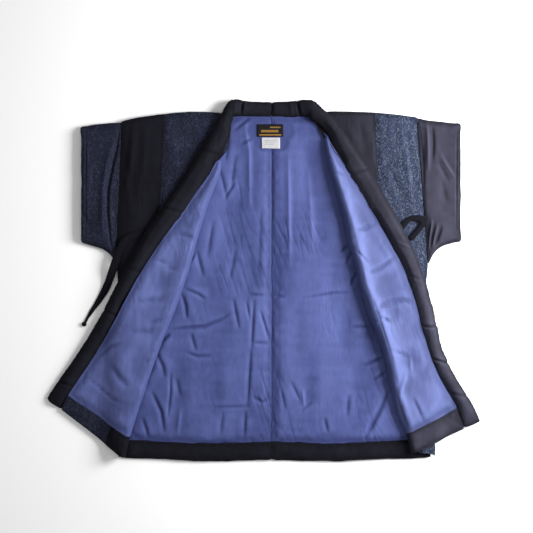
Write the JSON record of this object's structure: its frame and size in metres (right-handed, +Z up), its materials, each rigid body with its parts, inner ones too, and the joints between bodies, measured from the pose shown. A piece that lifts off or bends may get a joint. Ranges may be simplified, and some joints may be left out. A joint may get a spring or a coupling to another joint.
{
  "type": "padded hanten jacket with short sleeves, laid open flat",
  "caption": "Padded short-sleeved hanten jacket laid open flat on its back, fronts turned back to show the lining, with a collar band and ties.",
  "frame": {"origin": "middle of the part's box in plan, on the surface that it lies on", "axes": "+Z up off the surface, +Y from hem to neck, +X to the right as seen from above with the neck at the top"},
  "size_m": [0.954, 0.7978, 0.036],
  "materials": {
    "dark_cloth": "near-black navy cotton with a slight grain and soft sheen",
    "speckled_cloth": "indigo cotton woven with fine pale blue flecks",
    "lining": "plain blue-violet lining cloth, smooth with a soft sheen",
    "woven_label": "black woven label with plain gold bars, no lettering",
    "care_tag": "white printed tape with plain grey lines, no lettering"
  },
  "bodies": {
    "root": {"back_left": "dark_cloth", "back_right": "dark_cloth", "back_lining_left": "lining", "back_lining_right": "lining", "back_hem_facing_left": "dark_cloth", "back_hem_facing_right": "dark_cloth", "front_left_side_strip": "dark_cloth", "front_left_inner_strip": "speckled_cloth", "front_right_side_strip": "speckled_cloth", "front_right_inner_strip": "dark_cloth", "front_lining_left": "lining", "front_lining_right": "lining", "front_hem_facing_left_side": "dark_cloth", "front_hem_facing_left_inner": "speckled_cloth", "front_hem_facing_right": "dark_cloth", "collar_left": "dark_cloth", "collar_right": "dark_cloth", "sleeve_left": "speckled_cloth", "sleeve_right": "dark_cloth", "tie_left": "dark_cloth", "tie_right": "dark_cloth", "tie_knot": "dark_cloth", "neck_label": "woven_label", "care_tag": "care_tag"}
  },
  "joints": []
}
